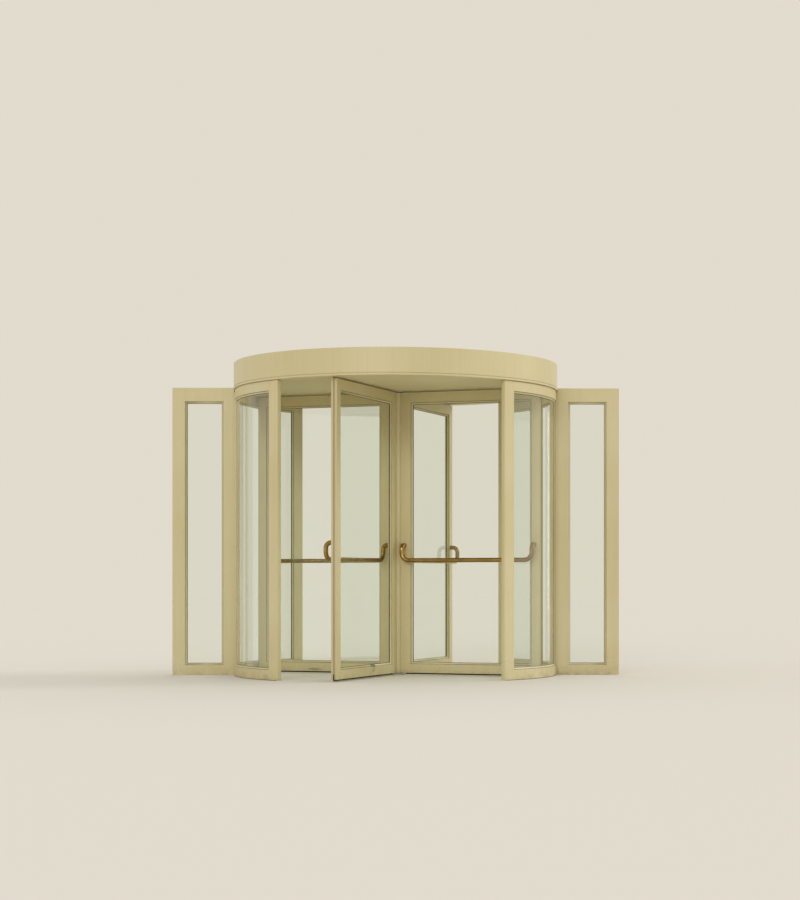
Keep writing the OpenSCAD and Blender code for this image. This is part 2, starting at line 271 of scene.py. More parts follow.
# nodes

class NodeBoard:
    # lays nodes on a new material or world and joins them
    def __init__(self, name, kind="materials"):
        self.owner = getattr(bpy.data, kind).new(name)
        self.owner.use_nodes = True
        self.nodes, self.links = self.owner.node_tree.nodes, self.owner.node_tree.links

    def put(self, value, socket):
        # a plain number or colour is written on the socket, anything else is joined to it
        if isinstance(value, (int, float, tuple)):
            socket.default_value = value
        else:
            self.links.new(value, socket)

    def add(self, kind, inputs=None, **settings):
        node = self.nodes.new("ShaderNode" + kind)
        for key, value in settings.items():
            setattr(node, key, value)
        for label, value in (inputs or {}).items():
            self.put(value, node.inputs[label])
        return node

    def onSurface(self, looks):
        # values and sockets into the surface shader's own inputs
        for label, value in looks.items():
            self.put(value, self.nodes["Principled BSDF"].inputs[label])
        return self.owner

    def place(self):
        # where a point is in the object's own metres
        return self.add("TexCoord").outputs["Object"]

    def mapped(self, vector, stretch):
        # a place stretched along its axes
        return self.add("Mapping", {"Vector": vector, "Scale": stretch}).outputs["Vector"]

    def noise(self, scale, detail=4, rough=0.6, vector=None, stretch=(1, 1, 1)):
        vector = self.mapped(self.place(), stretch) if vector is None else vector
        looks = {"Scale": scale, "Detail": detail, "Roughness": rough, "Vector": vector}
        return self.add("TexNoise", looks).outputs["Fac"]

    def spread(self, source, low, high, outLow=0.0, outHigh=1.0):
        # share of the way from low to high, laid out between two new values
        limits = {"From Min": low, "From Max": high, "To Min": outLow, "To Max": outHigh}
        return self.add("MapRange", {"Value": source, **limits}).outputs["Result"]

    def maths(self, operation, first, second):
        return self.add("Math", {0: first, 1: second}, operation=operation).outputs[0]

    def times(self, first, second):
        return self.maths("MULTIPLY", first, second)

    def plus(self, first, second):
        return self.maths("ADD", first, second)

    def vectorMaths(self, operation, first, second=(0, 0, 0)):
        return self.add("VectorMath", {0: first, 1: second}, operation=operation)

    def blend(self, share, first, second):
        # colour between two others by a share
        return self.add("Mix", {0: share, 6: first, 7: second}, data_type="RGBA").outputs[2]

    def stained(self, colour, share, strength, stain):
        # a display colour laid over the one below by a share of its strength
        return self.blend(self.times(share, strength), colour, linear(*stain))

    def bump(self, height, strength, distance, under=None):
        normal = {} if under is None else {"Normal": under}
        looks = {"Strength": strength, "Distance": distance, "Height": height, **normal}
        return self.add("Bump", looks).outputs["Normal"]

    def height(self):
        return self.add("SeparateXYZ", {0: self.place()}).outputs["Z"]

    def spot(self, centre, size):
        # one inside an ellipsoid round a point, fading to nothing at its skin
        away = self.vectorMaths("SUBTRACT", self.place(), centre).outputs[0]
        shrunk = self.vectorMaths("DIVIDE", away, size).outputs[0]
        return self.spread(self.vectorMaths("LENGTH", shrunk).outputs["Value"], 1.0, 0.55)


# camera, floor and light

view = {
    "picture": (800, 900),
    "focalPixels": 1924.8,     # focal length in pixels of that picture
    "sensor": 36,              # height of the sensor in millimetres
    "place": (0.6078, -14.990, 0.7334),
    "heading": -1.0,           # degrees to the left of straight ahead
    "middle": (508.0, 580.3),  # pixel where the level line of sight meets the picture
}
stageLook = {
    "floor": (218, 213, 202),
    "floorSize": 120.0,
    "sky": 0.78,    # strength of the even light from all round
    "skyColour": (1.0, 0.99, 0.965),
    "bounces": 24,  # enough for light to cross every pane
    # tall soft lamps that show only in gloss: place, width, height, power
    "streaks": {
        "rightStreak": ((5.2, -6.0, 1.9), 0.5, 3.0, 26.0),
        "leftStreak": ((-6.4, -4.6, 1.5), 0.35, 2.2, 13.0),
    },
}
# soft suns: degrees right of the outer front, degrees up, strength, spread, colour
suns = {
    "keySun": (106, 24, 1.05, 20, (1.0, 0.99, 0.965)),
    "fillSun": (-12, 20, 0.60, 22, (1.0, 0.99, 0.97)),
    "rearSun": (165, 45, 0.45, 50, (1.0, 0.99, 0.97)),
}


def setCamera():
    camera = addObject("camera", bpy.data.cameras.new("camera"))
    lens, (wide, high) = camera.data, view["picture"]
    lens.sensor_fit, lens.sensor_height = "VERTICAL", view["sensor"]
    lens.lens = view["focalPixels"] * view["sensor"] / high
    lens.shift_x = (wide / 2 - view["middle"][0]) / high
    lens.shift_y = (view["middle"][1] - high / 2) / high
    lens.clip_end = 200
    camera.location = view["place"]
    camera.rotation_euler = (pi / 2, 0, radians(view["heading"]))
    scene.camera = camera


def addSun(name, right, up, strength, spread, colour):
    # its disc is kept out of what shows through glass
    data = bpy.data.lights.new(name, "SUN")
    data.energy, data.angle, data.color = strength, radians(spread), colour
    sun = addObject(name, data)
    sun.visible_transmission = False
    sun.rotation_euler = (radians(90 - up), 0, radians(right))


def addStreakLamp(name, place, wide, high, power):
    # upright area lamp that faces the door's axis and casts no light on matt surfaces
    data = bpy.data.lights.new(name, "AREA")
    data.shape, data.size, data.size_y, data.energy = "RECTANGLE", wide, high, power
    lamp = addObject(name, data)
    lamp.visible_diffuse = lamp.visible_transmission = False
    lamp.location = place
    lamp.rotation_euler = (pi / 2, 0, atan2(place[0], -place[1]))


def floorBrightness():
    # light on an open level floor: the even sky plus each sun by the sine of its height
    total = stageLook["sky"] * np.array(stageLook["skyColour"])
    for _, up, strength, _, colour in suns.values():
        total = total + strength * sin(radians(up)) / pi * np.array(colour)
    return total


def setSky():
    # even light; what the camera sees, in glass and gloss too, is as bright as the open floor
    board = NodeBoard("softSky", "worlds")
    scene.world = board.owner
    board.nodes.clear()
    path = board.add("LightPath").outputs
    clear = board.maths("MAXIMUM", path["Is Transmission Ray"], path["Is Glossy Ray"])
    seen = board.maths("MAXIMUM", path["Is Camera Ray"], clear)
    soft = board.add("Background", {"Color": (*stageLook["skyColour"], 1), "Strength": stageLook["sky"]})
    horizon = np.array(linear(*stageLook["floor"])[:3]) * floorBrightness()
    pale = board.add("Background", {"Color": (*horizon.tolist(), 1)})
    mix = board.add("MixShader", {0: seen, 1: soft.outputs[0], 2: pale.outputs[0]})
    board.add("OutputWorld", {"Surface": mix.outputs[0]})


def setFloor():
    half = stageLook["floorSize"] / 2
    mesh = bpy.data.meshes.new("floor")
    corners = [(-half, -half, 0), (half, -half, 0), (half, half, 0), (-half, half, 0)]
    mesh.from_pydata(corners, [], [(0, 1, 2, 3)])
    looks = {"Base Color": linear(*stageLook["floor"]), "Roughness": 1.0, "Specular IOR Level": 0.0}
    mesh.materials.append(NodeBoard("paleFloor").onSurface(looks))
    addObject("floor", mesh)


setCamera()
setSky()
setFloor()
for name, look in suns.items():
    addSun(name, *look)
for name, look in stageLook["streaks"].items():
    addStreakLamp(name, *look)
scene.view_settings.view_transform = "Standard"
scene.cycles.max_bounces = scene.cycles.transmission_bounces = stageLook["bounces"]
scene.cycles.transparent_max_bounces = 32
print("camera and stage set")


# finishes: each is a slot of the record with a material

paint = {
    "cream": (206, 193, 147),
    "warmer": (201, 186, 138),
    "paler": (211, 200, 158),
    "dirt": (128, 114, 82),
    # colour of the flecks, and of the painted shade with grime at bead feet
    "grime": (70, 60, 40),
    "mark": (58, 50, 38),
    "gloss": 0.38,
    "orangePeel": 0.00012,  # height of the powder coat's fine waves
    "dirtReach": 0.11,      # how high floor dirt climbs
    "scuffReach": 0.30,     # how high shoe marks and flecks climb
    "streaks": 0.06,        # how strongly each kind of dirt shows
    "dust": 0.55,
    "scuffs": 0.30,
    "flecks": 0.30,
}


def creamPaint(name, marks=(), gloss=paint["gloss"], coat=0.06, footDarkness=0.95, paler=0):
    # satin coat: slow drift between two creams, fine orange peel, faint upright streaks,
    # dust and flecks that thin with height, and grime with painted shade where the piece's own attribute
    # says
    board = NodeBoard(name)
    cream, warm, pale = (linear(*(np.array(paint[tone]) + paler)) for tone in ("cream", "warmer", "paler"))
    height, reach = board.height(), paint["scuffReach"]
    drift = board.spread(board.noise(1.4, 2, 0.5), 0.35, 0.65)
    speck = board.spread(board.noise(38), 0.3, 0.7, 0.25, 0.65)
    colour = board.blend(speck, board.blend(drift, warm, pale), cream)
    streak = board.spread(board.noise(1.0, stretch=(42, 42, 0.9)), 0.45, 0.72)
    colour = board.stained(colour, streak, paint["streaks"], paint["dirt"])
    low = board.spread(height, paint["dirtReach"], 0.0)
    patchy = board.spread(board.noise(17, 5, 0.65), 0.35, 0.7)
    dust = board.times(board.maths("POWER", low, 2.2), patchy)
    colour = board.stained(colour, dust, paint["dust"], paint["dirt"])
    scuff = board.spread(board.noise(9, 6, 0.7, stretch=(1, 1, 7)), 0.60, 0.72)
    scuff = board.times(scuff, board.spread(height, reach, 0.04))
    colour = board.stained(colour, scuff, paint["scuffs"], paint["dirt"])
    fleck = board.times(board.spread(board.noise(80, 2, 0.5), 0.62, 0.70),
                        board.spread(height, reach, 0.05))
    fleck = board.times(fleck, board.spread(board.noise(3.5, 2, 0.5), 0.44, 0.60))
    colour = board.stained(colour, fleck, paint["flecks"], paint["grime"])
    for centre, size, strength in marks:
        ragged = board.spread(board.noise(70), 0.30, 0.48)
        spot = board.times(board.spot(centre, size), ragged)
        colour = board.stained(colour, spot, strength, paint["mark"])
    # painted shade and grime: the attribute darkens each bead's foot, in the corner below the frame's face
    foot = board.add("Attribute", attribute_name="grime").outputs["Fac"]
    uneven = board.spread(board.noise(24), 0.25, 0.6, 0.58 * footDarkness, footDarkness)
    colour = board.stained(colour, foot, uneven, paint["grime"])
    rough = board.spread(board.noise(5.5), 0.3, 0.7, gloss - 0.05, gloss + 0.07)
    peel = board.bump(board.noise(420, 2, 0.5), 0.35, paint["orangePeel"])
    return "cream_paint", board.onSurface({
        "Base Color": colour,
        "Roughness": board.plus(rough, board.times(dust, 0.3)),
        "Normal": board.bump(board.noise(7, 2, 0.5), 0.25, 0.0012, peel),
        "Coat Weight": coat,
        "Coat Roughness": 0.20,
    })


glassLook = {
    "tint": (0.918, 0.948, 0.905, 1),
    "dusty": (0.74, 0.76, 0.71, 1),
    "lampTint": (0.935, 0.957, 0.925, 1),
    "wave": 0.0016,  # slow roller waves of toughened glass
}


def doorGlass(name, waveScale, stretch):
    # clear green-tinted pane; slow waves bend what it mirrors
    # light towards a lamp or off a matt surface goes straight through, so it is counted once
    board = NodeBoard(name)
    dust = board.spread(board.noise(6, 5), 0.42, 0.75, 0.0, 0.07)
    low = board.spread(board.height(), 0.55, 0.08)
    film = board.times(dust, board.plus(board.times(low, 0.8), 0.2))
    board.onSurface({
        "Base Color": board.blend(film, glassLook["tint"], glassLook["dusty"]),
        "Roughness": 0.0,
        "IOR": 1.5,
        "Transmission Weight": 1.0,
        "Normal": board.bump(board.noise(waveScale, 1, 0.4, stretch=stretch), 0.5, glassLook["wave"]),
    })
    path = board.add("LightPath").outputs
    clear = board.add("BsdfTransparent", {"Color": glassLook["lampTint"]}).outputs[0]
    seen = board.nodes["Principled BSDF"].outputs[0]
    for kind in ("Is Shadow Ray", "Is Diffuse Ray"):
        seen = board.add("MixShader", {0: path[kind], 1: seen, 2: clear}).outputs[0]
    board.put(seen, board.nodes["Material Output"].inputs["Surface"])
    return board.owner


bronzeLook = {"bright": (176, 144, 80), "brown": (116, 90, 42), "gloss": 0.15}


def bronzeTube():
    # worn bronze: soft brown patches, and fine lines that run along the tube
    board = NodeBoard("bronzeTube")
    along = board.mapped(board.add("TexCoord").outputs["UV"], (3, 260, 1))
    lines = board.noise(6, 3, vector=along)
    patches = board.spread(board.noise(11), 0.35, 0.7)
    share = board.plus(board.times(patches, 0.55), board.times(lines, 0.2))
    gloss = bronzeLook["gloss"]
    return board.onSurface({
        "Base Color": board.blend(share, linear(*bronzeLook["bright"]), linear(*bronzeLook["brown"])),
        "Metallic": 1.0,
        "Roughness": board.plus(board.spread(lines, 0.3, 0.7, gloss - 0.04, gloss + 0.07),
                                board.times(patches, 0.08)),
        "Normal": board.bump(lines, 0.2, 0.0001),
    })


def brushPile(name, deep, dusty):
    # pile: fine noise between the shade deep in it and its dusty fibre tips,
    # and floor dust that grows over the lowest centimetre
    board = NodeBoard(name)
    shade = board.spread(board.noise(240, 3), 0.3, 0.75)
    dust = board.times(board.spread(board.height(), 0.010, 0.003),
                       board.spread(board.noise(14), 0.40, 0.65, 0.0, 0.35))
    return board.onSurface({
        "Base Color": board.blend(dust, board.blend(shade, deep, dusty), linear(122, 108, 80)),
        "Roughness": board.spread(shade, 0, 1, 0.62, 0.9),
        "Sheen Weight": 0.25,
    })


def darkRubber():
    # glazing gasket: matt black with pale dust in patches
    board = NodeBoard("darkRubber")
    shade = board.spread(board.noise(60), 0.35, 0.8)
    return board.onSurface({
        "Base Color": board.blend(shade, (0.016, 0.016, 0.015, 1), (0.075, 0.070, 0.060, 1)),
        "Roughness": board.spread(shade, 0, 1, 0.5, 0.78),
        "Normal": board.bump(board.noise(300, 2, 0.5), 0.3, 0.0001),
    })


def brushedSteel():
    # rings of fine turning marks round the rotor's axis, with dull worn patches
    board = NodeBoard("brushedSteel")
    flat = board.vectorMaths("MULTIPLY", board.place(), (1, 1, 0)).outputs[0]
    reach = board.vectorMaths("LENGTH", flat).outputs["Value"]
    marks = board.noise(900, 2, vector=board.add("CombineXYZ", {0: reach}).outputs[0])
    dull = board.spread(board.noise(26), 0.35, 0.7)
    return board.onSurface({
        "Base Color": board.blend(dull, (0.58, 0.58, 0.565, 1), (0.40, 0.395, 0.375, 1)),
        "Metallic": 1.0,
        "Roughness": board.plus(board.spread(marks, 0.3, 0.7, 0.24, 0.36), board.times(dull, 0.14)),
        "Normal": board.bump(marks, 0.25, 0.0001),
    })


floorMark = [((-0.93, -0.83, 0.02), (0.05, 0.05, 0.03), 0.2)]  # place, reach and strength
drumPaint = creamPaint("creamDrumPaint", floorMark)
canopyPaint = creamPaint("creamCanopyPaint")
# painted light: a lit copy of the cream, ten levels paler, for the ceiling that sits in shade under the
# canopy
ceilingLitPaint = creamPaint("mattCeilingPaint", gloss=0.68, coat=0.0, paler=10)
coverPaint = creamPaint("mattCoverPaint", gloss=0.68, coat=0.0)
sidePaint = creamPaint("creamSidelightPaint", footDarkness=0.35)
curvedGlass = "curved_glass", doorGlass("curvedDoorGlass", 2.6, (1, 1, 0.35))
flatGlass = "flat_glass", doorGlass("flatDoorGlass", 1.9, (1, 1, 0.5))
bronze = "bronze", bronzeTube()
blackPile = "brush_seal", brushPile("blackPile", (0.010, 0.010, 0.009, 1), (0.045, 0.042, 0.036, 1))
palePile = "brush_seal", brushPile("palePile", linear(168, 155, 122), linear(204, 191, 156))
rubber = "brush_seal", darkRubber()
steel = "steel", brushedSteel()
print("finishes made")


# glazing: beads and gaskets round every pane

glazing = {
    "bead": 0.014,          # how far a bead reaches over the glass
    "step": 0.004,          # from the frame's face down to the bead's foot
    "lip": 0.003,           # thickness of the bead's lip
    "hair": 0.0001,         # clearance of the rubber
    "bite": 0.012,          # how far the panes reach into the frames
    "gasket": 0.0018,       # thickness of the rubber between bead and glass
    "gasketStart": 0.006,
    "gasketShows": 0.0024,  # how far the rubber stands out past the bead
    "gasketEdge": 0.0009,   # its thickness out there
    "curvedPane": 0.010,
    "flatPane": 0.008,
    "paneEdge": 0.001,
}


def beadShells(left, right, low, high, thick, pane, parts=1):
    # beads and gaskets on both faces: outlines mirrored across the pane's middle
    foot, reach, fit, hair = thick / 2 - glazing["step"], glazing["bead"], door["touch"], glazing["hair"]
    face = pane / 2 + fit + glazing["lip"]
    under, over = pane / 2 + hair, pane / 2 + glazing["gasket"] + hair
    slope = [(fit, foot), (reach * 0.8, face + (foot - face) * 0.12), (reach, face - 0.0004),
             (reach, over), (fit, over)]
    bead = roundedOutline(slope, (0.0006, 0.004, 0.0008, 0.0002, 0.0002))
    # painted shade and grime fill the foot and end a third of the way up the slope
    darkStop, fadeStop = bead[3] + np.array([[0.16], [0.30]]) * (bead[4] - bead[3])
    bead = np.insert(bead, [4, 4], [darkStop, fadeStop], axis=0)
    grime = np.zeros(len(bead))
    grime[:5] = 1
    start, end = glazing["gasketStart"], reach + glazing["gasketShows"]
    wedge = [(start, under), (end, under), (end, pane / 2 + glazing["gasketEdge"]),
             (reach + hair, over - hair), (start, over - hair)]
    gasket = roundedOutline(wedge, (0.0001, 0.0001, 0.0004, 0.0002, 0.0001), 2)
    bothFaces = lambda outline: [aroundOpening(left, right, low, high, outline * (1, sign), parts)
                                 for sign in (1, -1)]
    beads, gaskets = bothFaces(bead), bothFaces(gasket)
    for shell in beads:
        shell["grime"] = np.tile(grime, len(shell["points"]) // len(bead))
    return {"Beads": beads, "Gaskets": gaskets}


# drum: curved posts, sills and heads in four quarters

drum = {
    "post": 0.095,  # face width of a mouth post along the outer curve
    "nose": 0.008,  # radius on a mouth post's free side
    "noseSteps": 5,
    "wallPost": 0.090,
    "sill": 0.076,
    "head": 0.076,
    "shadow": door["ceiling"] - 0.006,  # lower edge of the groove under the canopy
    "shadowDeep": 0.005,
    "step": 0.022,  # longest side of a face along the curve
}
# first words of each quarter's nodes, and the signs that make it from the front right one
quarters = {
    "frontLeft": ("front_left", (-1, 1)),
    "frontRight": ("front_right", (1, 1)),
    "rearLeft": ("rear_left", (-1, -1)),
    "rearRight": ("rear_right", (1, -1)),
}


def neckedPost(left, right, inset, radii, steps=3):
    # curved post up to the shadow groove, and its thinner neck from there to the ceiling
    post = rectangle(left, right, -wallHalf, wallHalf, radii, steps)
    neck = rectangle(left + inset, right, -wallHalf, wallHalf - drum["shadowDeep"], radii, steps)
    post, neck = (subdividedOutline(outline, drum["step"]) for outline in (post, neck))
    return bentToDrum([upright(post, 0, drum["shadow"]), upright(neck, drum["shadow"], door["ceiling"])])


def drumQuarter():
    # the front right quarter, drawn flat and then bent: x runs along the wall's middle
    mouth = door["mouthAngle"] * wallMiddle
    postEnd = mouth + drum["post"] / door["wallOuter"] * wallMiddle
    wallEnd = -drum["wallPost"] / 2 / door["wallOuter"] * wallMiddle
    left, right = postEnd + door["joint"], wallEnd - door["joint"]
    parts = ceil((wallEnd - postEnd) / drum["step"])
    top, edge, nose = door["ceiling"], door["edge"], drum["nose"]
    low, shadow, deep = top - drum["head"], drum["shadow"], wallHalf - drum["shadowDeep"]
    sill = rectangle(0, drum["sill"], -wallHalf, wallHalf, edge)
    head = roundedOutline([(low, -wallHalf), (top, -wallHalf), (top, deep), (shadow, deep),
                           (shadow, wallHalf), (low, wallHalf)],
                          (edge, 0.0004, 0.0004, 0.0004, 0.0008, edge))
    bite, skin = glazing["bite"], glazing["curvedPane"] / 2
    pane = rectangle(drum["sill"] - bite, low + bite, -skin, skin, glazing["paneEdge"], 2)
    flat = {
        "Sill": [level(sill, left, right, parts)],
        "Head": [level(head, left, right, parts)],
        "Glass": [level(pane, postEnd - bite, wallEnd + bite, 2 * parts)],
        **beadShells(postEnd, wallEnd, drum["sill"], low, 2 * wallHalf, glazing["curvedPane"], parts),
    }
    posts = neckedPost(mouth, postEnd, drum["shadowDeep"], (nose, edge, edge, nose), drum["noseSteps"])
    return {"Post": posts, **{part: bentToDrum(shells) for part, shells in flat.items()}}


def buildDrum():
    finishes = {"Frame": drumPaint, "Glass": curvedGlass, "Gaskets": rubber}
    parts = drumQuarter()
    for name, (node, signs) in quarters.items():
        nodes = {part: [f"{node}_{part.lower()}"] for part in ("Post", "Sill", "Head", "Glass")}
        makeParts(name, parts, lambda shells: flipped(shells, *signs), finishes, nodes)


def buildWallPosts():
    # post in the wall plane with the tongue that meets the sidelight
    wide, half = drum["wallPost"] / 2 / door["wallOuter"] * wallMiddle, side["thick"] / 2
    near, far = door["wallOuter"] + door["joint"], side["start"] - door["touch"]
    tongue = rectangle(near, far, -half, half, 0.0008)
    shells = [*neckedPost(-wide, wide, 0, door["edge"]), upright(tongue, 0, drum["shadow"])]
    for name, sign in (("left", -1), ("right", 1)):
        makePiece(name + "WallPost", flipped(shells, sign, 1), drumPaint, [name + "_wall_post"])


fillet = {
    "under": 0.0005,  # how far it reaches in past the wall's face
    "wide": 0.0035,
    "low": 0.0002,
    "high": 0.0042,
    "short": 0.004,   # how far it ends before the sidelight
}


def buildFloorJoint():
    # dark sealant fillet where the curved sills and posts meet the floor
    wall, low = door["wallOuter"], fillet["low"]
    foot, toe = wall - fillet["under"], wall + fillet["wide"]
    outline = roundedOutline([(foot, low), (toe, low), (foot, fillet["high"])], 0.0005)
    end = -asin((side["thick"] / 2 + fillet["short"]) / wall)
    shell = roundAxis(outline, door["mouthAngle"] + drum["nose"] / wall, end)
    makePiece("floorJoint", [flipped([shell], *signs)[0] for _, signs in quarters.values()], rubber)


# sidelights

side = {
    "start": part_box("right_sidelight_frame")[0][0],
    "end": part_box("right_sidelight_frame")[1][0],
    "high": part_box("right_sidelight_frame")[1][2],
    "thick": 0.060,
    "innerStile": 0.080,
    "outerStile": 0.098,
    "topRail": 0.106,
    "bottomRail": 0.076,
}


def framedPanel(left, right, low, high, sizes, grooved=None):
    # flat frame of two full-height stiles with rails between them, and its beads and gaskets
    half, edge, joint = sizes["thick"] / 2, door["edge"], door["joint"]
    openLeft, openRight = left + sizes["innerStile"], right - sizes["outerStile"]
    openLow, openHigh = low + sizes["bottomRail"], high - sizes["topRail"]
    block = lambda first, last: rectangle(first, last, -half, half, edge)
    outerStile = grooved(openRight, right, half, edge) if grooved else block(openRight, right)
    members = [
        upright(block(left, openLeft), low, high),
        upright(outerStile, low, high),
        level(block(low, openLow), openLeft + joint, openRight - joint),
        level(block(openHigh, high), openLeft + joint, openRight - joint),
    ]
    opening = (openLeft, openRight, openLow, openHigh)
    return {"Frame": members, **beadShells(*opening, sizes["thick"], glazing["flatPane"])}


def buildSidelights():
    finishes = {"Frame": sidePaint, "Gaskets": rubber}
    parts = framedPanel(side["start"], side["end"], 0, side["high"], side)
    for name, sign in (("left", -1), ("right", 1)):
        nodes = {"Frame": [name + "_sidelight_frame"]}
        makeParts(name + "Sidelight", parts, lambda shells: flipped(shells, sign, 1), finishes, nodes)


buildDrum()
buildWallPosts()
buildFloorJoint()
buildSidelights()
print("drum and sidelights built")


# canopy: fascia ring, ceiling panel and cover

canopy = {
    "radius": 1.252,
    "fascia": 0.016,
    "band": 0.014,  # height of the raised band
    "line": 0.004,  # height and depth of the fine groove above it
    "flange": 0.030,
    "flangeThick": 0.008,
    "edge": 0.0018,
    "step": 0.045,  # longest side of a face up the fascia
    "ceilingThick": 0.018,
    "bearingHole": 0.0603,
    "plateEdge": 0.0007,
}
cover = {
    "panels": 8,
    "thick": 0.010,
    "drop": 0.004,       # how far it lies below the fascia's top
    "hole": 0.090,
    "joint": 0.0006,     # half of the joint between two panels, in radians
    "lid": 0.125,
    "lidThick": 0.0022,
    "rimScrews": 5,      # on each panel
    "rimInset": 0.018,
    "lidScrews": 0.112,  # radius of their ring
}
screws = {
    "round": (0.005, 0.0026),  # radius and height of the round heads on the cover's rim
    "lid": 0.0035,
    "bearing": 0.0055,
    "flatHigh": 0.0008,        # how far the countersunk ones stand above their plate
}


def buildFascia():
    # stepped outline carried round each half, with a hairline where the halves meet
    low, top, out, band = door["ceiling"], door["top"], canopy["radius"], door["bandRadius"]
    inner, deep = out - canopy["fascia"], out - canopy["line"]
    flange, thick = inner - canopy["flange"], canopy["flangeThick"]
    lineLow = low + canopy["band"]
    lineHigh = lineLow + canopy["line"]
    coverLow = top - cover["drop"] - cover["thick"]
    outline = roundedOutline(
        [(flange, low), (band, low), (band, lineLow), (deep, lineLow), (deep, lineHigh), (out, lineHigh),
         (out, top), (inner, top), (inner, coverLow), (flange, coverLow), (flange, coverLow - thick),
         (inner, coverLow - thick), (inner, low + thick), (flange, low + thick)],
        (0.0008, canopy["edge"], 0.0012, 0.0006, 0.0006, 0.0012, canopy["edge"],
         0.001, 0.0006, 0.001, 0.001, 0.002, 0.002, 0.001), 4)
    seam = door["touch"] / out
    ring = roundAxis(subdividedOutline(outline, canopy["step"]), -pi + seam, -seam, 1.5)
    makePiece("canopyFront", [ring], canopyPaint, ["canopy_front"])
    makePiece("canopyRear", flipped([ring], 1, -1), canopyPaint, ["canopy_rear"])


def plateSector(low, steps, start, end, seam):
    # stepped plate outline carried round part of the axis, held back a little at both seams
    outline = roundedOutline(steps, canopy["plateEdge"], 2) + (0, low)
    return roundAxis(outline, start + seam, end - seam)


def buildCeiling():
    hole, thick, rest = canopy["bearingHole"], canopy["ceilingThick"], canopy["flangeThick"]
    lip = canopy["radius"] - canopy["fascia"] - door["touch"]
    radius = lip - canopy["flange"]
    steps = [(hole, 0), (radius, 0), (radius, rest), (lip, rest), (lip, thick), (hole, thick)]
    low, seam = door["ceiling"], 0.0004
    halves = [plateSector(low, steps, start, start + pi, seam) for start in (-pi, 0)]
    makePiece("ceilingPanels", halves, ceilingLitPaint, ["ceiling"])


def screwHead(radius, height, around=12):
    # low round head with a dished recess: rings of changing radius over its height
    across = np.array([0.98, 1.0, 0.86, 0.42, 0.36, 0.12]) * radius
    rise = np.array([0.0, 0.35, 0.86, 1.0, 0.55, 0.5]) * height
    angle = np.linspace(0, 2 * pi, around, endpoint=False)
    return shellOf(polar(across[:, None], angle, rise[:, None]))


def ringOfPlaces(radius, count, height, start):
    # equal turns of one radius by cosine and sine, at one height
    return polar(radius, start + np.arange(count) * 2 * pi / count, height)


def buildCover():
    count, hole, thick = cover["panels"], cover["hole"], cover["thick"]
    radius = canopy["radius"] - canopy["fascia"] - door["touch"]
    low, turn = door["top"] - cover["drop"] - thick, 2 * pi / count
    face = low + thick
    steps = [(hole, 0), (radius, 0), (radius, thick), (hole, thick)]
    panels = [plateSector(low, steps, k * turn, (k + 1) * turn, cover["joint"]) for k in range(count)]
    lid = rectangle(0.002, cover["lid"], 0, cover["lidThick"], canopy["plateEdge"]) + (0, face)
    panels.append(roundAxis(lid, 0, 2 * pi, 6))
    makePiece("coverPanels", panels, coverPaint, ["canopy_cover"])
    each = cover["rimScrews"]
    rim = ringOfPlaces(radius - cover["rimInset"], count * each, face, turn / (2 * each))
    inner = ringOfPlaces(cover["lidScrews"], count, face + cover["lidThick"], turn / 2)
    small = screwHead(screws["lid"], screws["flatHigh"])
    makePiece("coverScrews", [copies(screwHead(*screws["round"]), rim), copies(small, inner)], steel)


def buildBearingScrews():
    # ring of screws on each plate: its radius, count, height and first angle, and the way up
    rings = {
        "floorPlateScrews": (0.052, 4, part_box("floor_bearing")[1][2] / 2, pi / 4, 1),
        "ceilingFlangeScrews": (0.076, 6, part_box("ceiling_bearing")[0][2], 0.3, -1),
    }
    screw = screwHead(screws["bearing"], screws["flatHigh"])
    for name, (*ring, up) in rings.items():
        makePiece(name, [copies(screw, ringOfPlaces(*ring), up)], steel)


buildFascia()
buildCeiling()
buildCover()
buildBearingScrews()
print("canopy built")


# rotor: wings, brush seals and push bars

wing = {
    "firstAngle": -110.0,  # heading of the wing left of the outer mouth's middle
    "inner": 0.04669,      # where a wing starts, beside the centre post's flat
    "outer": 1.180,
    "low": 0.017,
    "high": 2.189,
    "thick": 0.045,
    "innerStile": 0.082,
    "outerStile": 0.068,
    "topRail": 0.079,
    "bottomRail": 0.068,
    "grooveWide": 0.0064,
    "grooveDeep": 0.0082,
}


def wingAngle(number):
    return radians(wing["firstAngle"] + 90 * (number - 1))


def onWing(number, along, across, height):
    # point on a wing, turned with it into the door's frame
    cosine, sine = cos(wingAngle(number)), sin(wingAngle(number))
    return (along * cosine - across * sine, along * sine + across * cosine, height)


# dark marks on the bottom rails: place, reach and strength
wingMarks = {
    1: [(onWing(1, 0.494, 0.021, 0.094), (0.060, 0.060, 0.016), 1.0),
        (onWing(1, 0.500, 0.0225, 0.062), (0.045, 0.045, 0.026), 0.30)],
    4: [(onWing(4, 0.684, 0.0225, 0.034), (0.075, 0.075, 0.013), 0.4)],
}
wings = (1, 2, 3, 4)
wingPaint = {number: creamPaint(f"creamWingPaint{number}", wingMarks.get(number, ())) for number in wings}


def groovedStile(near, far, half, edge):
    # stile with the seal's groove down the middle of its outer edge
    slit, floor = wing["grooveWide"] / 2, far - wing["grooveDeep"]
    return roundedOutline([(near, -half), (far, -half), (far, -slit), (floor, -slit),
                           (floor, slit), (far, slit), (far, half), (near, half)],
                          (edge, edge, 0.0005, 0.0003, 0.0003, 0.0005, edge, edge))


